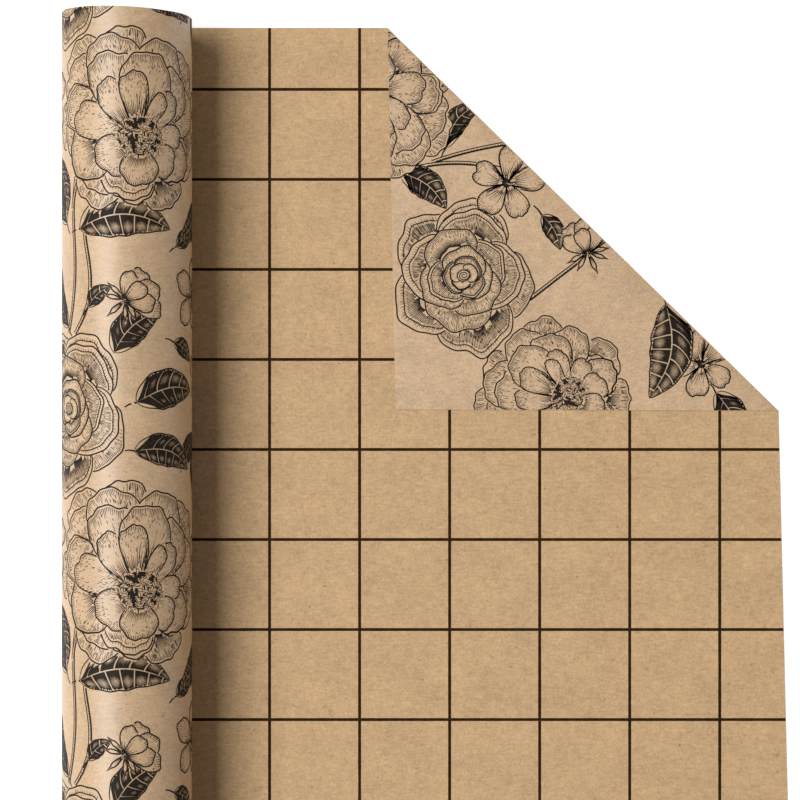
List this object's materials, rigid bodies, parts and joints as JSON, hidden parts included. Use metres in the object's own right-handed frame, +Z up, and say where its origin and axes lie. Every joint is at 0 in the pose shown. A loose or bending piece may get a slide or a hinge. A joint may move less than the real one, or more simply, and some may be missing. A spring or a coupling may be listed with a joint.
{
  "type": "wrapping paper roll",
  "caption": "Roll of kraft gift wrap on a paperboard core, with a grid-backed sheet pulled out flat and its far corner folded over.",
  "frame": {"origin": "on the surface that the paper lies on, under the roll's axis, halfway along the roll", "axes": "+Y along the roll, +X the way the paper is pulled out, +Z up"},
  "size_m": [0.2073, 0.4318, 0.0357],
  "materials": {
    "kraft_print_side": "smooth satin kraft paper",
    "kraft_grid_side": "matt kraft paper",
    "core_board": "matt recycled paperboard",
    "glue": "dried white glue"
  },
  "bodies": {
    "lead": {"lead_leaf": "kraft_grid_side"},
    "roll": {"core_liner_ply": "core_board", "core_middle_ply": "core_board", "core_outer_ply": "core_board", "core_glue_line": "glue", "wound_paper": "kraft_print_side"},
    "sheet": {"pulled_sheet": "kraft_grid_side"},
    "corner": {"folded_corner": "kraft_print_side"}
  },
  "joints": [
    {"name": "roll_turn", "type": "hinge", "parent": "lead", "child": "roll", "pos_m": [0, 0, 0.01794], "axis": [0, -1, 0], "range_deg": [0, 163.79]},
    {"name": "sheet_feed", "type": "slide", "parent": "lead", "child": "sheet", "axis": [1, 0, 0], "range_m": [0, 0.0508]},
    {"name": "corner_fold", "type": "hinge", "parent": "sheet", "child": "corner", "pos_m": [0.0712, 0.2159, 0.00043], "axis": [-0.7144, 0.6997, 0], "range_deg": [0, 180]}
  ],
  "couplings": [
    {"joint": "sheet_feed", "follows": "roll_turn", "m_per_rad": 0.01777}
  ]
}
